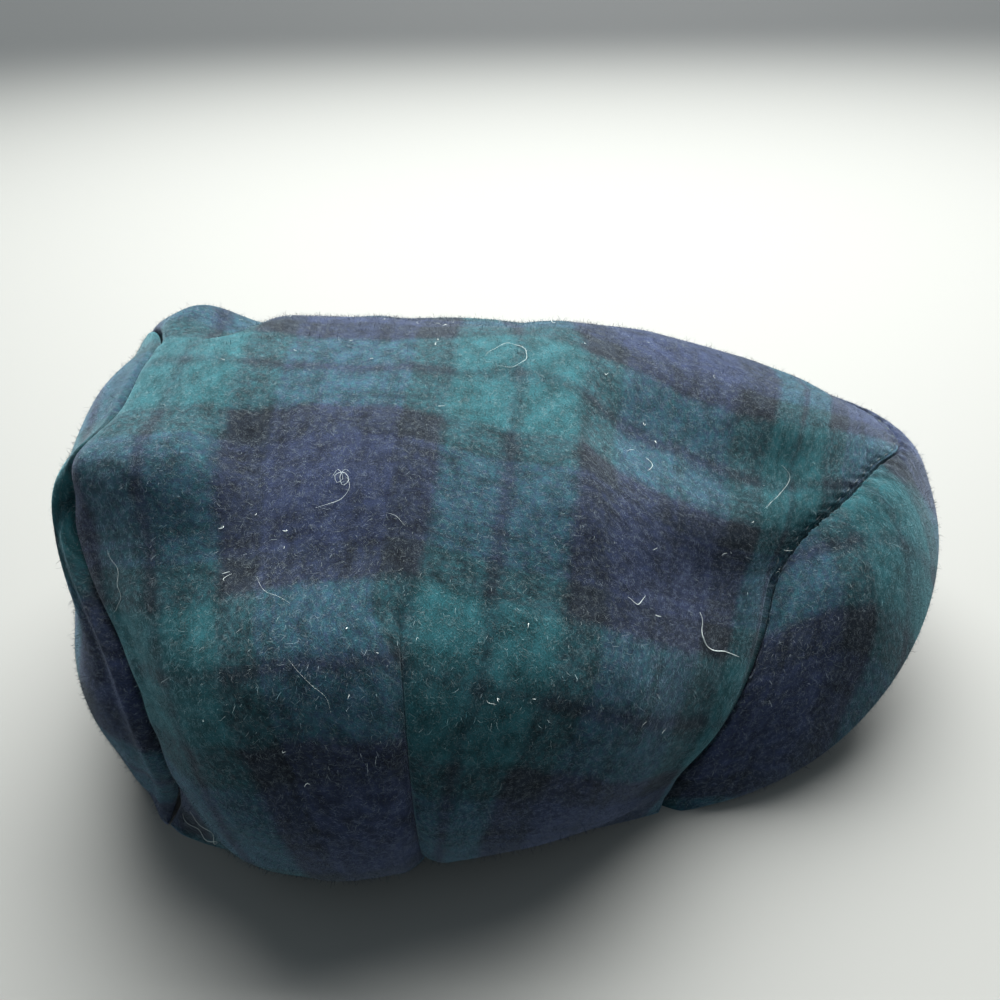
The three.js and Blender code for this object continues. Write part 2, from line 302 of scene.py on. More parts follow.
def tartan_group():
    """Shader group: the tartan's colour at a place counted in threads. Warp and weft each
    follow the order of yarns, with soft edges that waver, and mix as in a fine twill."""
    group, takes, gives = new_group("tartan", dict(Threads="Vector", Waver="Float"),
                                    dict(Color="Color"))
    place, drift = takes["Threads"], (0, 0, 0)
    for scale, share in ((0.55, 1.0), (0.09, 1.3)):
        level = vectors(group, "SUBTRACT", noise(group, place, scale, 2.0)["Color"], (0.5,) * 3)
        drift = vectors(group, "MULTIPLY_ADD", level, (share,) * 3, drift)
    moved = vectors(group, "ADD", place, vectors(group, "SCALE", drift, Scale=takes["Waver"]))
    axes = add(group, "ShaderNodeSeparateXYZ", {0: moved}).outputs
    half = sum(count for count, _ in SETT)
    ends = np.cumsum([count for count, _ in SETT])[:-1] / half
    colours = []
    for axis in "XY":
        to_and_fro = maths(group, "PINGPONG", maths(group, "ADD", axes[axis], half / 2), half)
        ramp = add(group, "ShaderNodeValToRGB", {0: maths(group, "DIVIDE", to_and_fro, half)})
        ramp.color_ramp.interpolation = "EASE"
        stops = ramp.color_ramp.elements
        stops[0].color = (*SETT[0][1], 1)
        stops[1].color = (*SETT[-1][1], 1)
        for end, (low, before), (high, after) in zip(ends, SETT, SETT[1:]):
            soft = min(SOFT_EDGE, 0.48 * low, 0.48 * high) / half
            stops.new(end - soft).color = (*before, 1)
            stops.new(end + soft).color = (*after, 1)
        colours.append(ramp.outputs["Color"])
    share = ranged(group, noise(group, place, 0.45, 3.0)["Fac"], 0.3, 0.7, 0.2, 0.8)
    group.links.new(mixed(group, share, *colours), gives["Color"])
    return group


def felt_group():
    """Shader group: the brushed face of wool at a place counted in threads. Out of it come a
    net of thin curling fibres, the mottle of raised and matted patches, and their height."""
    group, takes, gives = new_group("brushed_face", dict(Threads="Vector"),
                                    dict(Fibres="Float", Mottle="Float", Height="Float"))
    place, net = takes["Threads"], 0.0
    for scale, width, turn in ((0.30, 0.030, 0.0), (0.42, 0.034, 1.1), (0.21, 0.022, 2.3)):
        turned = add(group, "ShaderNodeMapping", {
            "Vector": place, "Rotation": (0, 0, turn),
            "Location": (31 * turn, 7 * turn, 3 * turn)}).outputs[0]
        wave = noise(group, turned, scale, 1.0, Distortion=1.2)["Fac"]
        off_line = maths(group, "ABSOLUTE", maths(group, "SUBTRACT", wave, 0.5))
        line = ranged(group, off_line, 0.0, width, 1.0, 0.0, interpolation_type="SMOOTHSTEP")
        net = maths(group, "MAXIMUM", net, line)
    kept = ranged(group, noise(group, place, 0.35, 2.0)["Fac"], 0.42, 0.62)
    net = maths(group, "MULTIPLY", net, kept)
    fine = noise(group, place, 1.5, 4.0, Roughness=0.75)["Fac"]
    broad = noise(group, place, 0.12, 3.0)["Fac"]
    mottle = maths(group, "MULTIPLY_ADD", broad, 0.45, maths(group, "MULTIPLY", fine, 0.55))
    height = maths(group, "MULTIPLY_ADD", net, 0.35, mottle)
    for name, value in (("Fibres", net), ("Mottle", mottle), ("Height", height)):
        group.links.new(value, gives[name])
    return group


TARTAN, FELT = tartan_group(), felt_group()


def plain(name, colour, roughness, specular=0.5):
    """A material of one colour, given as red, green and blue."""
    material = bpy.data.materials.new(name)
    material.use_nodes = True
    shader = material.node_tree.nodes["Principled BSDF"].inputs
    shader["Base Color"].default_value = (*colour, 1)
    shader["Roughness"].default_value = roughness
    shader["Specular IOR Level"].default_value = specular
    return material


def wool(name, nap=False):
    """Material of brushed tartan wool: the tartan darkened and lightened by the mottle, pale
    fibres over it, a soft bump, and a sheen that takes the yarn's colour. The fibres of the
    nap itself have no net or bump. They are paler by turns instead, and have less sheen."""
    material = plain(name, GREEN, roughness=0.95, specular=0.12)
    tree = material.node_tree
    shader = tree.nodes["Principled BSDF"].inputs
    chart = add(tree, "ShaderNodeUVMap", uv_map="cloth").outputs[0]
    threads = vectors(tree, "SCALE", chart, Scale=float(THREADS))
    tartan = add(tree, "ShaderNodeGroup", {"Threads": threads, "Waver": WAVER}, node_tree=TARTAN)
    yarn = tartan.outputs["Color"]
    felt = add(tree, "ShaderNodeGroup", {"Threads": threads}, node_tree=FELT).outputs
    light = ranged(tree, felt["Mottle"], 0.33, 0.67, 0.16, 1.95)
    shaded = vectors(tree, "SCALE", yarn, Scale=light)
    if nap:
        kinds = ranged(tree, noise(tree, threads, 2.7, 0.0)["Fac"], 0.46, 0.70)
        pale = maths(tree, "MULTIPLY", kinds, PALE_IN_NAP)
    else:
        pale = maths(tree, "MULTIPLY", felt["Fibres"], PALE_ON_CLOTH)
        bump = add(tree, "ShaderNodeBump", {"Strength": 0.6, "Distance": 0.0006,
                                            "Height": felt["Height"]})
        tree.links.new(bump.outputs[0], shader["Normal"])
    tree.links.new(mixed(tree, pale, shaded, PALE_FIBRE), shader["Base Color"])
    bright = vectors(tree, "SCALE", yarn, Scale=8.0)
    tree.links.new(mixed(tree, 0.25, bright, GLOW), shader["Sheen Tint"])
    shader["Sheen Weight"].default_value = 0.3 if nap else 0.8
    shader["Sheen Roughness"].default_value = 0.3
    return material


def peak_point(side, out):
    """A point of the peak's upper face. side runs from -1 to 1 across it, out from its sewn
    edge (0) to its outer edge (1): the parabola through the three lines. From above a line is
    a superellipse. It falls from its rise in the middle to its foot at the ends, by a power
    of the share across."""
    side, out = np.broadcast_arrays(np.asarray(side, float), np.asarray(out, float))
    angle = side * math.pi / 2
    arches = []
    for line in PEAK_LINES:
        radius = super_radius(angle, line["round"])
        left = line["half"] * radius * np.sin(angle)
        up = np.maximum(1 - (np.abs(left) / line["half"]) ** line["arch"], 0)
        arches.append(np.stack([line["root"] + line["reach"] * radius * np.cos(angle), left,
                                line["foot"] + (line["rise"] - line["foot"]) * up], -1))
    out = out[..., None]
    return (arches[0] * 2 * (out - 0.5) * (out - 1) + arches[1] * 4 * out * (1 - out)
            + arches[2] * 2 * out * (out - 0.5))


def peak_normal(side, out):
    """The peak's outward direction. Its ends take that of the line just inside them."""
    step, side = 1e-3, np.clip(side, -0.96, 0.96)
    normals = np.cross(peak_point(side, out + step) - peak_point(side, out - step),
                       peak_point(side + step, out) - peak_point(side - step, out))
    return away_from((60, 0, 10), peak_point(side, out), unit(normals))


def cell_areas(points):
    """Area of each cell of a grid."""
    down, along = np.diff(points, axis=0)[:, :-1], np.diff(points, axis=1)[:-1]
    return np.linalg.norm(np.cross(down, along), axis=-1)


def in_cells(grid, row, col, down, along):
    """A grid's values inside its cells, by straight lines between a cell's four corners."""
    return ((grid[row, col] * (1 - along) + grid[row, col + 1] * along) * (1 - down)
            + (grid[row + 1, col] * (1 - along) + grid[row + 1, col + 1] * along) * down)


def nap(name, surface, outward, cloth, keep, count, seed, material):
    """The raised nap of a cloth: fibres scattered evenly over those cells of its grid that
    are kept. A fibre, 0.45 to 2.05 mm long, is a ribbon of three triangles from a pair of
    points at its root through a pair halfway to its tip. It leaves the cloth in a random
    direction, mostly rises much less than it runs, bends to one side as a parabola, and has
    the cloth's colour at its root."""
    pick = np.random.default_rng(seed)
    size = cell_areas(surface) * keep
    cells = pick.choice(size.size, count, p=(size / size.sum()).ravel())
    row, col = np.divmod(cells, size.shape[1])
    down, along = pick.random((2, count, 1))
    root, up, place = (in_cells(grid, row, col, down, along) for grid in (surface, outward, cloth))
    way = pick.normal(size=(count, 3))
    way = unit(way - up * (way * up).sum(-1, keepdims=True))
    aside = np.cross(up, way)
    long = 0.45 + 1.6 * pick.random((count, 1)) ** 3
    rise = 0.14 + 1.3 * pick.random((count, 1)) ** 3
    bend = pick.normal(0, 0.6, (count, 1))
    half = aside * (0.024 + 0.022 * pick.random((count, 1)))
    middle = root + long * (0.5 * way + 0.6 * rise * up + 0.25 * bend * aside)
    tip = root + long * (0.85 * way + 0.8 * rise * up + bend * aside)
    ribbons = np.stack([root - half, root + half, middle - 0.8 * half, middle + 0.8 * half, tip], 1)
    ribbons[..., 2] = np.maximum(ribbons[..., 2], 0.05)
    first = 5 * np.arange(count)[:, None, None]
    faces = (first + np.array([(0, 2, 3), (0, 3, 1), (2, 4, 3)])).reshape(-1, 3).tolist()
    return mesh_piece(name, ribbons.reshape(-1, 3), faces, np.repeat(place, 5, 0), material)


def pucker(along):
    """A wave from 0 to 1 with a hollow at each stitch, a little unevenly spaced."""
    return 0.5 + 0.5 * np.cos(along * 2 * math.pi / STITCH + 0.8 * np.sin(along / 5))


# Rows crowd towards the sewn and outer edges, and columns towards the two ends.
PEAK_ROWS, PEAK_COLUMNS = 199, 400
peak_out = stations(PEAK_ROWS, [(1, 6, 0.02), (0, 1, 0.02)])[:, None]
peak_side = PEAK_SPAN * (2 * stations(PEAK_COLUMNS, [(0, 3, 0.02), (1, 3, 0.02)])[None] - 1)
peak_face = peak_point(peak_side, peak_out)
peak_face[..., 2] *= 1 - smooth((np.abs(peak_side) - 0.92) / 0.07) * smooth(peak_out / 0.3)
peak_out_way = peak_normal(peak_side + 0 * peak_out, peak_out + 0 * peak_side)
board = smooth((BOARD_END - np.abs(peak_side)) / BOARD_FADE)
peak_thick = PEAK_HEM + (PEAK_WALL - PEAK_HEM) * board + 0 * peak_out
along_peak = lengths(peak_face, 0)
across_peak = lengths(peak_face, 1)
to_edge = along_peak[-1:] - along_peak

# The cloth swells a little in front of the stitched line, which draws it down.
down_edge = np.linspace(0, 1, 400)
sewn_line = np.interp(np.abs(peak_side), column(FRONT_EDGE, "around", "side", down_edge),
                      column(FRONT_EDGE, "around", "out", down_edge))
sewn_row = np.clip(np.searchsorted(peak_out[:, 0], sewn_line), 0, PEAK_ROWS - 1)
beyond = along_peak - np.take_along_axis(along_peak, sewn_row, axis=0)
sewn_part = smooth((0.36 - np.abs(peak_side)) / 0.08)
drawn_up = (0.7 + 0.3 * sewn_part) * smooth((0.95 - np.abs(peak_side)) / 0.12)
peak_swell = 3.5 * smooth((beyond - 0.15) / 0.8) * bell(beyond / 14) * drawn_up
peak_swell -= 0.7 * pucker(across_peak) * smooth(beyond / 1.2) * bell(beyond / 4.4) * sewn_part
peak_swell += (0.35 * np.sin(across_peak / 9 + 1) * np.sin(along_peak / 13 + across_peak / 31)
               * smooth(to_edge / 14))

edge_depth = rolled(to_edge, 0.5 * peak_thick)
peak_outer = peak_face + peak_out_way * (peak_swell - edge_depth)[..., None]
peak_inner = peak_face - peak_out_way * (peak_thick - 0.8 * edge_depth)[..., None]
peak_inner = peak_inner[::EVERY, ::EVERY]
on_table(peak_outer, peak_inner)

# The peak's own cut of cloth: its stripes cross the peak and its bands run forward. At each
# distance off the cap's middle, this is how far forward the middle of the green stripe lies.
GREEN_STRIPE = table("off_middle forward", [
    (0, 99),
    (20, 106),
    (35, 116),
    (50, 119),
    (62, 117),
    (72, 109),
    (84, 97),
])
# A thread's width across the stripes and across the bands, and how far to the right of the
# middle the green band lies.
STRIPE_THREAD, BAND_THREAD, BAND_PLACE = 0.48, 0.72, 43.5
half_way = PEAK_COLUMNS // 2
from_middle = across_peak - across_peak[:, half_way - 1:half_way + 1].mean(1, keepdims=True)
stripe_place = column(GREEN_STRIPE, "off_middle", "forward", np.abs(peak_face[..., 1]))
peak_cloth = np.stack([(peak_face[..., 0] - stripe_place) / STRIPE_THREAD,
                       (-from_middle - BAND_PLACE) / BAND_THREAD], -1)

peak = cloth_wall("peak_wool", peak_outer, peak_inner, peak_cloth, wool("peak_tartan"))
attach(peak, "root")
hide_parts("peak")

# ------------------------ peak nap
# The peak's raised nap: short curling wool fibres standing out of the cloth that shows, brushed
# up from it and still held at their roots.

NAP_FROM = 0.6           # height above the table from which there is any nap
showing = ((beyond > -3) & (peak_face[..., 2] > NAP_FROM))[:-1, :-1]
peak_nap = nap("peak_nap", peak_outer, peak_out_way, peak_cloth, showing, count=36000, seed=21,
               material=wool("peak_fibres", nap=True))
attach(peak_nap, "root")

# ======================== crown
# The crown: top and sides in one piece of wool cloth, taken in by a dart on each side. Its
# back edge is seamed to the back panel and its front edge is drawn down onto the peak.

CROWN_WALL, SEAM_GAP = 2.4, 0.65
SEWN = 0.41                      # share of the way down to which the front edge is stitched
HALF_GIRTH = 178                 # cloth from the ridge down to the rim
BELT, CORNER = 0.8, 0.38         # shares of it to the widest line, and to the panel's top corners
TUCK = math.radians(65)          # how far the sides turn under, below the widest line

# Cross sections from back to front: top of the ridge, widest half width, height of that
# widest line, half width at the rim, and squareness.
SECTIONS = table("forward top half belly foot square", [
    (-97, 98, 60, 34, 70, 2.2),
    (-84, 103, 74, 30, 79, 2.15),
    (-68, 105, 92, 27, 84.5, 2.1),
    (-45, 103, 103, 26, 87, 2.05),
    (-10, 100, 100, 26, 87, 2.05),
    (30, 96, 95, 26, 86, 2.05),
    (55, 92, 84, 24, 81, 2.1),
    (80, 88, 74, 16, 71, 2.15),
    (105, 83, 64, 12, 60, 2.25),
    (130, 72, 47, 14, 44, 2.3),
])

# Back seam: where the crown ends behind, from the ridge (0) down to the rim (1).
BACK_SEAM = table("around forward", [
    (-0.2, -90),
    (0, -88),
    (0.2, -90),
    (0.38, -98),
    (0.6, -83),
    (0.8, -81),
    (1, -91),
])

# Folds, dents and swellings, each along a line of the cloth from one place to another. A
# place is forward and across: cloth measured from the ridge, the wearer's right negative.
FOLDS = table("start end width height fade", [
    ((45, -27), (92, -31), 18, -7.4, 16),       # front hollow
    ((92, -28), (116, -16), 11, -4.6, 12),      # its tip
    ((62, -52), (96, -62), 12, 2, 14),          # front roll
    ((66, 28), (112, 24), 20, 6, 26),           # far shoulder
    ((-40, 52), (12, 48), 22, -4, 18),          # far flat
    ((60, 58), (92, 44), 13, -4, 14),           # far hollow
    ((-90, -46), (-66, -42), 13, 6, 10),        # right corner
    ((-54, -36), (-62, -72), 10, -4, 12),       # corner valley
    ((-70, 28), (-66, 60), 10, -5, 12),         # top saddle
    ((-82, 46), (-97, 60), 14, 7, 10),          # left corner
    ((-49, -59), (-30, -58), 13, -3, 14),       # side dip
    ((-19, -170), (-19, -76), 6, -0.7, 8),      # right dart
    ((-19, 170), (-19, 76), 6, -0.7, 8),        # left dart
    ((-50, -84), (30, -97), 18, 2, 20),         # right belly
    ((-50, 88), (24, 95), 18, 1.5, 20),         # left belly
])
DART, DART_TOP = -19.0, 74.0     # the darts' place forward, and the cloth from ridge to top

# Where the tartan lies on the crown. For each place across, how far forward the stripes lie:
# the threads 27, 177 and 273, and between the first two the thread count just behind and
# just ahead of `middle`, which is the dart wherever there is one.
STRIPES = table("across t27 middle behind ahead t177 t273", [
    (-178, -44, -19, 82, 142, -9, 40),
    (-143, -47, -19, 86, 138, -5, 48),
    (-125, -49, -19, 90, 134, -1, 54),
    (-103, -55, -19, 95, 127, 7.3, 61),
    (-91, -57.2, -19, 101, 122, 13.5, 65),
    (-80, -58.5, -19, 109, 119, 17, 68),
    (-73, -59, -19, 115, 117, 18.2, 70),
    (-66, -59.3, -14.3, 123, 123, 19.1, 72),
    (-56, -59.8, -11.6, 123, 123, 21, 75),
    (-41, -60.1, -8.7, 123, 123, 24.5, 79),
    (-25, -60.3, -6.7, 123, 123, 28, 82),
    (-10, -59.9, -3.8, 123, 123, 31.5, 88),
    (5, -60, -2.5, 123, 123, 34, 95),
    (30, -60, 0, 123, 123, 34, 92),
    (73, -59, -19, 88, 88, 30, 84),
    (110, -56, -19, 82, 98, 24, 76),
    (178, -50, -19, 76, 106, 12, 58),
])

# And for each place forward, how far across the bands lie: the threads -27, 27, 123 and 177.
# The dart has its own row on either side.
BANDS = table("forward upper ridge lower foot", [
    (-98, 30, -30, -96, -124),
    (-81, 23.5, -26.5, -85.4, -115),
    (-59, 14, -22.5, -70.8, -105),
    (-40, 9.5, -19.8, -64.9, -98.5),
    (-19.4, 10, -21, -64.7, -101),
    (-18.6, 10, -21.2, -64.7, -107.5),
    (-6, 11.5, -25, -70, -112),
    (7, 13, -28.5, -74.8, -116),
    (18, 14, -30, -78.5, -121),
    (28, 10, -30, -82.5, -128),
    (36, 5, -39, -87, -134),
    (49, -3, -46.5, -95, -141),
    (62, -11, -49.6, -101, -146),
    (79, -14, -52, -106, -150),
    (95, -13, -52, -108, -152),
    (130, -9, -52, -110, -154),
])
BACK_THREAD, FRONT_THREAD, RIM_THREAD = 0.56, 0.31, 0.6      # widths of a thread past those


def crown_section(forward, around):
    """A point of the plain crown. Above the belt it is on a superellipse from the ridge to
    the widest line, and below it on an ellipse that turns under to the rim."""
    part = {name: column(SECTIONS, "forward", name, forward) for name in SECTIONS[0]}
    share = np.abs(around)
    angle = np.clip(share / BELT, 0, 1) * math.pi / 2
    radius = super_radius(angle, part["square"])
    left = part["half"] * radius * np.sin(angle)
    up = part["belly"] + (part["top"] - part["belly"]) * radius * np.cos(angle)
    under = np.clip((share - BELT) / (1 - BELT), 0, 1) * TUCK
    inward = (1 - np.cos(under)) / (1 - math.cos(TUCK))
    left = np.where(share > BELT, part["half"] + (part["foot"] - part["half"]) * inward, left)
    up = np.where(share > BELT, part["belly"] * (1 - np.sin(under) / math.sin(TUCK)), up)
    return np.stack([forward + 0 * left, np.sign(around) * left, up], -1)


def fold_height(forward, across):
    """What the folds add: along each fold's line its full height, falling off as a bell curve
    beside the line and past its two ends."""
    height = 0
    for fold in FOLDS:
        (f0, a0), (f1, a1) = fold["start"], fold["end"]
        length = math.hypot(f1 - f0, a1 - a0)
        along = ((forward - f0) * (f1 - f0) + (across - a0) * (a1 - a0)) / length
        beside = ((across - a0) * (f1 - f0) - (forward - f0) * (a1 - a0)) / length
        past = np.maximum(np.maximum(-along, along - length), 0)
        height = height + fold["height"] * bell(beside / fold["width"]) * bell(past / fold["fade"])
    return height


def front_edge(around):
    """Where the crown's front edge lies on the peak, and the direction that it faces."""
    share = np.abs(around)
    side = np.sign(around) * column(FRONT_EDGE, "around", "side", share)
    out = column(FRONT_EDGE, "around", "out", share)
    outward = peak_normal(side, out)
    edge = peak_point(side, out) + outward * (CROWN_WALL + SEAM_GAP)
    to_rim = np.clip((1 - share) / 0.036, 0, 1)      # over the last of it, down onto the table
    edge[..., 2] = np.maximum(edge[..., 2], 0) * to_rim
    return edge, outward


def undulation(forward, across, seed, sizes):
    """Gentle unevenness of soft cloth: a sum of crossed sine waves of the given lengths and
    heights, turned and shifted by seeded amounts."""
    pick = np.random.default_rng(seed)
    height = 0
    for length, tall in sizes:
        for _ in range(3):
            turn, a, b = pick.uniform(0, 2 * math.pi, 3)
            along = (forward * math.cos(turn) + across * math.sin(turn)) * 2 * math.pi / length
            beside = (across * math.cos(turn) - forward * math.sin(turn)) * 2 * math.pi / length
            height = height + tall / 3 * np.sin(along + a) * np.sin(0.7 * beside + b)
    return height


def looked_up(rows, place, x):
    """All columns of a table at x, by straight lines between its rows."""
    at = [row[place] for row in rows]
    return {name: np.interp(x, at, [row[name] for row in rows]) for name in rows[0]}


def crown_cloth(forward, across):
    """Threads counted along the cap and round it, at places of the cloth: straight lines
    between the stripes and the bands of the two tables."""
    _, t27, middle, behind, ahead, t177, t273 = looked_up(STRIPES, "across", across).values()
    _, upper, ridge, lower, foot = looked_up(BANDS, "forward", forward).values()

    def between(x, low, high, first, second):
        return first + (second - first) * (x - low) / (high - low)

    warp = np.where(forward < t27, 27 + (forward - t27) / BACK_THREAD,
                    between(forward, t27, middle, 27, behind))
    warp = np.where(forward > middle, between(forward, middle, t177, ahead, 177), warp)
    warp = np.where(forward > t177, between(forward, t177, t273, 177, 273), warp)
    warp = np.where(forward > t273, 273 + (forward - t273) / FRONT_THREAD, warp)
    drawn_in = np.interp(forward, (70, 92), (0.6, 0.36))      # a thread past the upper band
    weft = np.where(across > upper, -27 - (across - upper) / drawn_in,
                    between(across, upper, ridge, -27, 27))
    weft = np.where(across < ridge, between(across, ridge, lower, 27, 123), weft)
    weft = np.where(across < lower, between(across, lower, foot, 123, 177), weft)
    weft = np.where(across < foot, 177 + (foot - across) / RIM_THREAD, weft)
    return np.stack([warp, weft], -1)


# Rows run from the back seam to the front edge with one row along the darts; they crowd
# towards the two edges and the darts.
ROWS, DART_ROW, COLUMNS = 253, 96, 325
BEHIND_DART, AHEAD_OF_DART = 0.34, 0.66          # shares of each column
INSIDE = (0, 0, 15)              # a point inside the crown, from which its face looks away
share = np.concatenate([
    BEHIND_DART * stations(DART_ROW + 1, [(0, 5, 0.03), (1, 5, 0.03)])[:-1],
    BEHIND_DART + AHEAD_OF_DART * stations(ROWS - DART_ROW, [(0, 5, 0.02), (1, 6, 0.02)])])[:, None]
around = 2 * stations(COLUMNS, [(0, 1.5, 0.006), (1, 1.5, 0.006)])[None] - 1
around[0, COLUMNS // 2] = 0
edge, edge_facing = front_edge(around[0])
seam = column(BACK_SEAM, "around", "forward", np.abs(around))
front = edge[None, :, 0]
forward = np.where(share < BEHIND_DART, seam + (DART - seam) * share / BEHIND_DART,
                   DART + (front - DART) * (share - BEHIND_DART) / AHEAD_OF_DART)
across = around * HALF_GIRTH + 0 * forward
unfolded = crown_section(forward, around)
pull = smooth(((forward - seam) / (front - seam) - 0.55) / 0.45) ** 1.3
free = smooth((1 - np.abs(around)) / 0.12) * (1 - 0.6 * pull - 0.4 * pull ** 8)
folded = facing(unfolded, INSIDE) * (fold_height(forward, across) * free)[..., None]
crown_face = unfolded + folded
crown_face = crown_face + (edge[None] - unfolded[-1:]) * pull[..., None]
crown_out_way = facing(crown_face, INSIDE)
crown_out_way[-1] = edge_facing

# Seams: the darts are sunk lines with a pinched top, the front edge puckers where it is
# stitched and is a soft fold where it is free, and the back edge has a wavy ridge beside it.
from_back = lengths(crown_face, 0)
to_front = from_back[-1:] - from_back
round_rim = lengths(crown_face, 1)
to_rim = np.minimum(round_rim, round_rim[:, -1:] - round_rim)
detail = undulation(forward, across, 5, ((62, 0.9), (31, 0.45), (16, 0.18)))
detail = detail * smooth(to_rim / 16) * smooth(to_front / 12) * smooth(from_back / 10)
dart = smooth((np.abs(across) - DART_TOP + 4) / 12)
off_dart = np.abs(forward - DART)
detail -= (1.7 * np.exp(-off_dart / 1.2) * smooth(to_rim / 3)
           + 0.5 * bell(off_dart / 4) * smooth(to_rim / 18)) * dart
detail -= 1.0 * bell(off_dart / 6) * bell((np.abs(across) - DART_TOP) / 5)
detail += 0.45 * bell((off_dart - 4.5) / 2.6) * dart * smooth(to_rim / 6)
stitched = smooth((SEWN + 0.02 - np.abs(around)) / 0.05)
detail -= 0.65 * pucker(round_rim[-1:]) * bell(to_front / 4.4) * smooth(to_front / 1.2) * stitched
detail += 0.9 * bell((to_front - 5.5) / 4.5) * (1 - 0.8 * stitched) * smooth(to_rim / 8)
seam_wave = np.sin(round_rim[:1] / 2.6 + 1.3 * np.sin(round_rim[:1] / 9))
detail += 0.22 * seam_wave * bell((from_back - 3.5) / 3) * smooth(to_rim / 8)
detail += 0.5 * bell((from_back - 4.5) / 3.5)

# The front and back edges turn in, the back one hardly at all at the crown's left corner.
front_roll = rolled(to_front, 2.2 - 1.7 * stitched) * smooth(to_rim / 6)
eased = 1 - 0.85 * bell((around - CORNER) / 0.07)
back_roll = rolled(from_back, 2.0) * smooth(to_rim / 9) * eased
crown_outer = crown_face + crown_out_way * (detail - np.maximum(front_roll, back_roll))[..., None]
crown_inner = (crown_face - crown_out_way * CROWN_WALL)[::EVERY, ::EVERY]
on_table(crown_outer, crown_inner)
crown_outer[:, [0, -1], 2] = crown_inner[:, [0, -1], 2] = 0

crown_threads = crown_cloth(forward, across)
crown = cloth_wall("crown_wool", crown_outer, crown_inner, crown_threads, wool("crown_tartan"))
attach(crown, "root")
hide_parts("crown")

# ------------------------ crown nap
# The crown's raised nap, in a right and a left half: the same short curling fibres, held at
# their roots in the cloth.

crown_fibres = wool("crown_fibres", nap=True)
high, on_right = crown_outer[:-1, :-1, 2] > NAP_FROM, across[:-1, :-1] < 0
right_nap = nap("crown_nap_right", crown_outer, crown_out_way, crown_threads, high & on_right,
                count=61000, seed=31, material=crown_fibres)
left_nap = nap("crown_nap_left", crown_outer, crown_out_way, crown_threads, high & ~on_right,
               count=61000, seed=32, material=crown_fibres)
for half_nap in (right_nap, left_nap):
    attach(half_nap, "root")

# ------------------------ front stitches
# The stitches that hold the crown's front edge down on the peak: a row of short straight
# stitches of dark wool thread, each pulled into the cloth at both its ends.

# Half a stitch's length, how far behind the edge it lies, and the thickness of its thread.
HALF_STITCH, BEHIND_EDGE, STITCH_THICK = 1.25, 1.6, 0.4


def on_crown(forward, across):
    """Points of the crown's outer face at places of its cloth, and the ways out of it there:
    the place's row and column in the grid, and straight lines between its neighbours."""
    sideways = across / HALF_GIRTH
    behind = column(BACK_SEAM, "around", "forward", np.abs(sideways))
    before = np.interp(sideways, around[0], edge[:, 0])
    down = np.where(forward < DART, BEHIND_DART * (forward - behind) / (DART - behind),
                    BEHIND_DART + AHEAD_OF_DART * (forward - DART) / (before - DART))
    row = np.interp(down, share[:, 0], np.arange(ROWS))
    col = np.interp(sideways, around[0], np.arange(COLUMNS))
    i, j = np.minimum(row.astype(int), ROWS - 2), np.minimum(col.astype(int), COLUMNS - 2)
    return [in_cells(grid, i, j, (row - i)[..., None], (col - j)[..., None])
            for grid in (crown_outer, crown_out_way)]


def strands(name, paths, radius, material, sides=6):
    """Round strands in one mesh. Along each path of points lie rings whose radius follows
    the root of a sine from end to end, and a point closes either end."""
    count, steps = paths.shape[:2]
    ahead = unit(np.gradient(paths, axis=1))
    aside = unit(np.cross(ahead, (0.31, 0.17, 0.93)))
    over = np.cross(aside, ahead)
    angle = np.arange(sides) * 2 * math.pi / sides
    taper = np.sqrt(np.sin(np.linspace(0.12, math.pi - 0.12, steps)))[None, :, None, None]
    circle = (aside[:, :, None] * np.cos(angle)[:, None]
              + over[:, :, None] * np.sin(angle)[:, None])
    rings = paths[:, :, None] + circle * taper * np.reshape(radius, (-1, 1, 1, 1))
    points = np.concatenate([rings.reshape(count, -1, 3), paths[:, :1], paths[:, -1:]], 1)
    k = np.arange(steps * sides).reshape(steps, sides)
    beside = np.roll(k, -1, 1)
    tube = np.stack([k[:-1], beside[:-1], beside[1:], k[1:]], -1).reshape(-1, 4)
    caps = [np.stack([beside[0], k[0], np.full(sides, k.size)], -1),
            np.stack([k[-1], beside[-1], np.full(sides, k.size + 1)], -1)]
    first = points.shape[1] * np.arange(count)[:, None, None]
    faces = [face for part in (tube, *caps)
             for face in (first + part).reshape(-1, part.shape[1]).tolist()]
    flat = points.reshape(-1, 3)
    return mesh_piece(name, flat, turned_out(flat, faces), 0 * flat[:, :2], material)


along_edge = round_rim[-1]
first_stitch, last_stitch = np.interp((0.03 - SEWN, SEWN - 0.03), around[0], along_edge)
through = np.linspace(-1, 1, 7)
run = np.arange(first_stitch, last_stitch, STITCH)[:, None] + HALF_STITCH * through
sideways = np.interp(run, along_edge, around[0])
spot, way_out = on_crown(np.interp(sideways, around[0], edge[:, 0]) - BEHIND_EDGE,
                         sideways * HALF_GIRTH)
stitch_thread = plain("dark_stitch_thread", (0.030, 0.050, 0.062), roughness=0.7)
stitches = strands("front_stitches", spot + way_out * (0.16 - 0.5 * through ** 4)[:, None],
                   STITCH_THICK / 2, stitch_thread, sides=5)
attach(stitches, "root")

# ------------------------ lint
# Stray threads, hairs and flecks of pale fluff caught in the crown's nap: thin round strands
# that lie on the cloth.

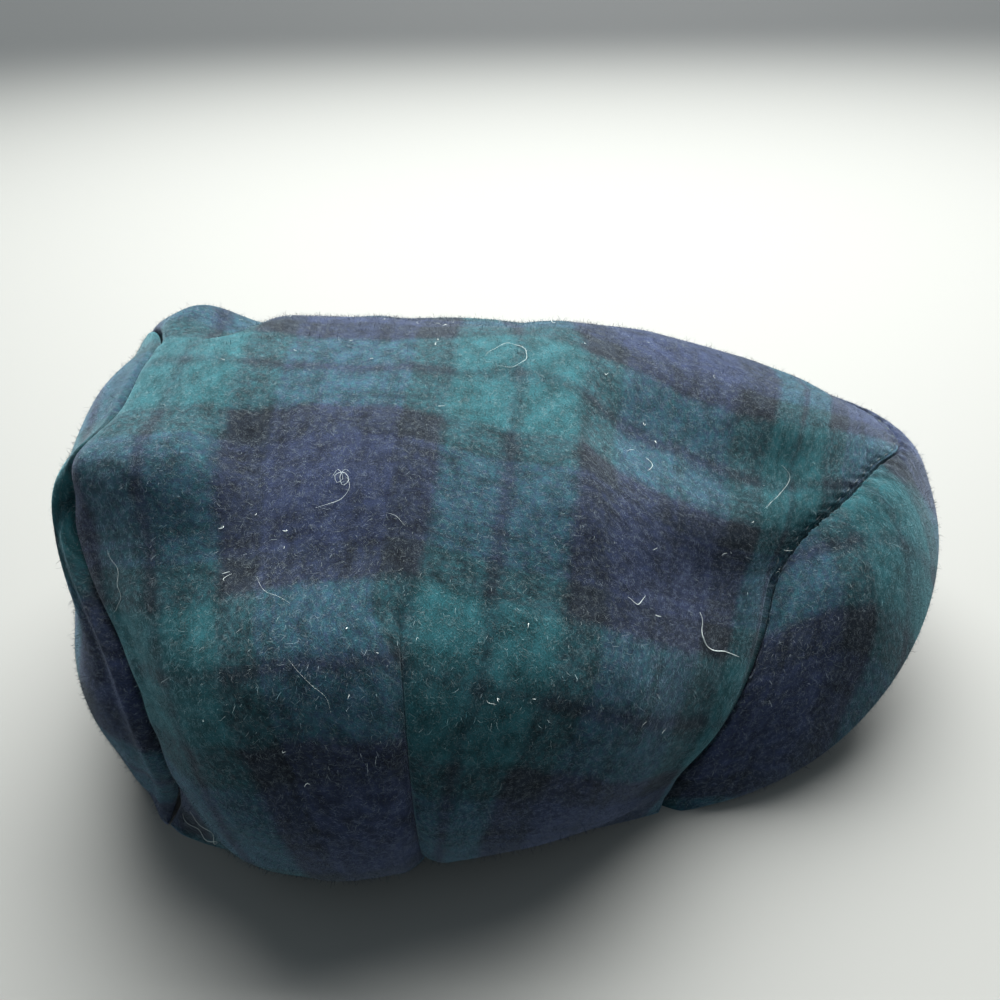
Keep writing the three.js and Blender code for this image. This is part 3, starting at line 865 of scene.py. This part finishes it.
# Each strand's thickness, how high it stands off, and the places of the cloth it passes.
LINT = table("thick off places", [
    (0.27, 0.3, [(54, -84), (54.5, -87.5), (54, -92), (57, -97), (61, -98.5), (65, -101)]),
    (0.075, 0.5, [(78, -44), (84, -37), (88, -31.5), (89.5, -28), (87, -25)]),
    (0.10, 0.4, [(46, -32), (47, -35), (45, -37.5)]),
    (0.09, 0.5, [(5, 0), (9, 5), (13, 7), (16.5, 3), (16, -2), (12, -5), (8, -5)]),
    (0.1, 0.6, [
        (-33.6, -41), (-32, -39.2), (-31, -41.2), (-32.4, -42), (-32.8, -40.6), (-30.6, -40),
        (-29.6, -41.4), (-31, -42.8), (-31.6, -40.8), (-30.2, -39), (-29.2, -40)]),
    (0.08, 0.7, [(-30, -41), (-29.4, -43.4), (-31, -45.5), (-34, -47), (-37.3, -47.6)]),
    (0.045, 0.4, [(-50, -64), (-48, -67), (-45, -68), (-42, -69.5)]),
    (0.04, 0.4, [(-42, -81), (-38, -86), (-35, -89), (-34, -93)]),
    (0.05, 0.3, [(-21, -50), (-19, -51), (-17, -53.5)]),
    (0.06, 0.6, [(-86, -71), (-83.5, -75), (-83, -80), (-84, -86), (-86, -89)]),
    (0.15, 0.9, [(-84, -164), (-80, -168), (-74, -165), (-74, -158), (-80, -157)]),
    (0.16, 0.3, [(33.5, -74.5), (36, -77), (38.5, -75)]),
])
FLECKS = 70                      # flecks, each a curve of 7 points on one spot of the crown

lint_paths = []
for strand in LINT:
    steps = np.hypot(*np.diff(strand["places"], axis=0).T)
    rows = [dict(length=length, forward=place[0], across=place[1])
            for length, place in zip(np.concatenate([[0], np.cumsum(steps)]), strand["places"])]
    run = np.linspace(0, steps.sum(), 26)
    spot, way_out = on_crown(*(column(rows, "length", way, run) for way in ("forward", "across")))
    lint_paths.append(spot + way_out * strand["off"] * (0.7 + 0.6 * np.sin(run * 0.9)[:, None]))
scatter = np.random.default_rng(44)
spot, way_out = on_crown(*scatter.uniform((-78, -120), (88, 90), (FLECKS, 2)).T)
curl = scatter.normal(0, 0.5, (FLECKS, 2, 1, 3)) * np.array([1, 1, 0.25])
run = np.linspace(-1, 1, 7)[:, None]
fleck_paths = (spot + way_out * 0.35)[:, None] + curl[:, 0] * run + curl[:, 1] * run ** 2
fluff = plain("pale_fluff", (0.50, 0.56, 0.56), roughness=0.8)
lint_thick = np.array([strand["thick"] for strand in LINT])
lint = strands("lint", np.array(lint_paths), lint_thick / 2, fluff)
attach(lint, "root")
flecks = strands("lint_flecks", fleck_paths, scatter.uniform(0.04, 0.085, FLECKS), fluff, sides=5)
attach(flecks, "root")

# ======================== back panel
# The back panel: a rounded piece of the same cloth that closes the crown behind, between
# its two side seams, its top seam and the rim. Its turned edge stands up beside the seam.

BACK_WALL, BACK_GAP = 2.0, 0.7
BACK_RIM_FORWARD, BACK_RIM_HALF, BACK_RIM_DEPTH = -91, 74.5, 21
BACK_CENTRE = (-70, 0, 35)       # a point inside, from which the panel looks away

# How deep the panel swells backwards on its way up from the rim (0) to its top seam (1), and
# how round that swelling is from side to side.
BACK_SWELL = table("up depth round", [
    (0, 0, 2.3),
    (0.2, 19, 2.2),
    (0.42, 30, 1.9),
    (0.62, 23, 1.9),
    (0.86, 15, 1.9),
    (0.95, 8, 1.9),
    (1, 0, 1.9),
])


def back_point(up, side):
    """A point of the panel: the patch between its side seams, its rim and its top seam, plus
    a swelling backwards that is deepest in the middle and nothing at the side seams."""
    def seam_point(place):
        return crown_section(column(BACK_SEAM, "around", "forward", np.abs(place)), place)

    sides = 1 - up * (1 - CORNER)
    share = ((side + 1) / 2)[..., None]
    lift = up[..., None]
    curve = np.maximum(1 - np.abs(side) ** 1.5, 0) ** (1 / 1.5)
    rim = np.stack([BACK_RIM_FORWARD - BACK_RIM_DEPTH * curve, BACK_RIM_HALF * side, 0 * side], -1)
    by_sides = seam_point(-sides) * (1 - share) + seam_point(sides) * share
    by_ends = rim * (1 - lift) + seam_point(side * CORNER) * lift
    low = rim[:, :1] * (1 - share) + rim[:, -1:] * share
    high = (seam_point(side[:, :1] * CORNER) * (1 - share)
            + seam_point(side[:, -1:] * CORNER) * share)
    patch = by_sides + by_ends - low * (1 - lift) - high * lift
    bulge = column(BACK_SWELL, "up", "round", up)
    swell = (1 - np.abs(side) ** bulge) ** (1 / bulge)
    patch[..., 0] -= column(BACK_SWELL, "up", "depth", up) * swell + BACK_GAP
    on_table(patch)
    return patch


def seam_distances(face):
    """Cloth of the panel to each point: up from the rim, across from one side, down from the
    top seam, and in from the nearer side seam."""
    upwards, sideways = lengths(face, 0), lengths(face, 1)
    in_from_side = np.minimum(sideways, sideways[:, -1:] - sideways)
    return upwards, sideways, upwards[-1:] - upwards, in_from_side


BACK_ROWS, BACK_COLUMNS = 121, 181
up = np.sin(stations(BACK_ROWS, [(1, 1.5, 0.03)]) * math.pi / 2)[:, None]
up = up + np.zeros((1, BACK_COLUMNS))
side = np.sin((2 * stations(BACK_COLUMNS, [(0, 1, 0.02), (1, 1, 0.02)]) - 1) * math.pi / 2)
side = side[None] + 0 * up
back_face = back_point(up, side)

# Near its seams it follows the folds of the crown, most of all those at the nearer seam.
_, _, to_top, to_side = seam_distances(back_face)
pulled, closeness = 0, 0
for place, distance in ((side * CORNER, to_top),
                        (np.sign(side) * (1 - up * (1 - CORNER)), to_side)):
    near = 1 / (distance + 0.4)
    at_seam = np.stack([np.interp(place, around[0], folded[0, :, axis]) for axis in range(3)], -1)
    pulled = pulled + (near * bell(distance / 16))[..., None] * at_seam
    closeness = closeness + near
back_face = back_face + pulled / closeness[..., None]
back_out_way = unit(back_face - np.array(BACK_CENTRE, float))
back_normal = facing(back_face, BACK_CENTRE)

# Its seam edges turn in, least at its left top corner, beside a ridge and a faint hollow.
up_panel, across_panel, to_top, to_side = seam_distances(back_face)
to_seam = np.minimum(to_top, to_side)
eased = 1 - 0.85 * bell(np.hypot(to_top, to_side) / 9) * (side > 0)
turn_in = rolled(to_seam, 1.6) * smooth(up_panel / 9) * eased
detail = undulation(across_panel, up_panel, 8, ((48, 0.8), (24, 0.35)))
detail = detail * smooth(to_seam / 12) * smooth(up_panel / 14)
detail += 0.7 * bell((to_side - 4.0) / 1.7) * smooth(up_panel / 10) * smooth(to_top / 8)
detail -= 0.5 * bell((to_side - 8) / 3) * smooth(up_panel / 10) * smooth(to_top / 12)
back_outer = back_face + back_normal * detail[..., None] - back_out_way * turn_in[..., None]
back_inner = (back_face - back_out_way * BACK_WALL)[::EVERY, ::EVERY]
on_table(back_outer, back_inner)
back_outer[0, :, 2] = back_inner[0, :, 2] = 0

# Its cloth is cut with the bands level and the stripes upright, a little askew. The green
# stripe lies so far to the right and the green band so far up, and a thread of each is so wide.
GREEN_RIGHT, GREEN_UP, UPRIGHT_THREAD, LEVEL_THREAD = 45, 24, 0.58, 0.55
from_centre = across_panel - across_panel[:, [BACK_COLUMNS // 2]]
back_threads = np.stack([
    (from_centre + GREEN_RIGHT) / UPRIGHT_THREAD + 0.05 * (up_panel - 50),
    (GREEN_UP - up_panel) / LEVEL_THREAD - 0.12 * (from_centre + 60)], -1)
back = cloth_wall("back_wool", back_outer, back_inner, back_threads, wool("back_tartan"))
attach(back, "root")
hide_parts("back_panel")

# ------------------------ back nap
# The back panel's raised nap: the same short curling wool fibres, brushed up from its cloth
# and held at their roots in it.

high = back_outer[:-1, :-1, 2] > NAP_FROM
back_nap = nap("back_nap", back_outer, back_normal, back_threads, high, count=28000, seed=41,
               material=wool("back_fibres", nap=True))
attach(back_nap, "root")

# ======================== floor and light
# A plain grey table top, one large soft light above it on the wearer's left, broad soft
# daylight from the same side, and a little light from all round.

floor_mesh = bpy.data.meshes.new("floor")
floor_mesh.from_pydata([(-4, -4, 0), (4, -4, 0), (4, 4, 0), (-4, 4, 0)], [], [(0, 1, 2, 3)])
table_top = plain("table_top", (0.174, 0.177, 0.172), roughness=0.6, specular=0.2)
floor_mesh.materials.append(table_top)
floor = shown("floor", floor_mesh)

lamp = bpy.data.lights.new("ceiling_softbox", "AREA")
lamp.shape, lamp.size, lamp.size_y, lamp.energy = "RECTANGLE", 0.9, 1.6, 45
lamp.color, lamp.spread = (1.0, 1.0, 0.96), math.radians(120)
softbox = shown("ceiling_softbox", lamp)
softbox.location = (0.78, -0.14, 1.06)
softbox.rotation_euler = [math.radians(x) for x in (0, 37, -10)]

daylight = bpy.data.lights.new("soft_daylight", "SUN")
daylight.energy, daylight.angle = 2.5, math.radians(50)
sky = shown("soft_daylight", daylight)
sky.rotation_euler = [math.radians(x) for x in (0, 38, -12)]

# The room's walls look pale to the eye but give the cap only a little light.
world = bpy.data.worlds.new("room")
world.use_nodes = True
room = world.node_tree.nodes["Background"]
room.inputs["Color"].default_value = (0.82, 0.94, 1.0, 1)
seen = add(world.node_tree, "ShaderNodeLightPath").outputs["Is Camera Ray"]
strength = maths(world.node_tree, "MULTIPLY_ADD", seen, 0.20, 0.39)
world.node_tree.links.new(strength, room.inputs["Strength"])
bpy.context.scene.world = world
bpy.context.scene.view_settings.view_transform = "Standard"

# ======================== camera
# The camera looks down at the wearer's right side from about a quarter of a metre away, a
# little turned towards the peak.

AIM, DISTANCE = np.array([8.0, 3.0, 45.0]), 245.0        # millimetres
LOOK_DOWN, LOOK_TURN, ROLL = 39, 3.1, -2                 # degrees

lens = bpy.data.cameras.new("camera")
lens.sensor_width, lens.lens = 36, 27.07
lens.clip_start, lens.clip_end = 0.02, 20
camera = shown("camera", lens)
turned, tilted, rolled_over = (
    Matrix.Rotation(math.radians(degrees), 4, axis)
    for degrees, axis in ((-90 - LOOK_TURN, "Z"), (90 - LOOK_DOWN, "X"), (ROLL, "Z")))
camera.matrix_world = (Matrix.Translation(placed(AIM)) @ turned @ tilted @ rolled_over
                       @ Matrix.Translation((0, 0, DISTANCE * MM)))
bpy.context.scene.camera = camera
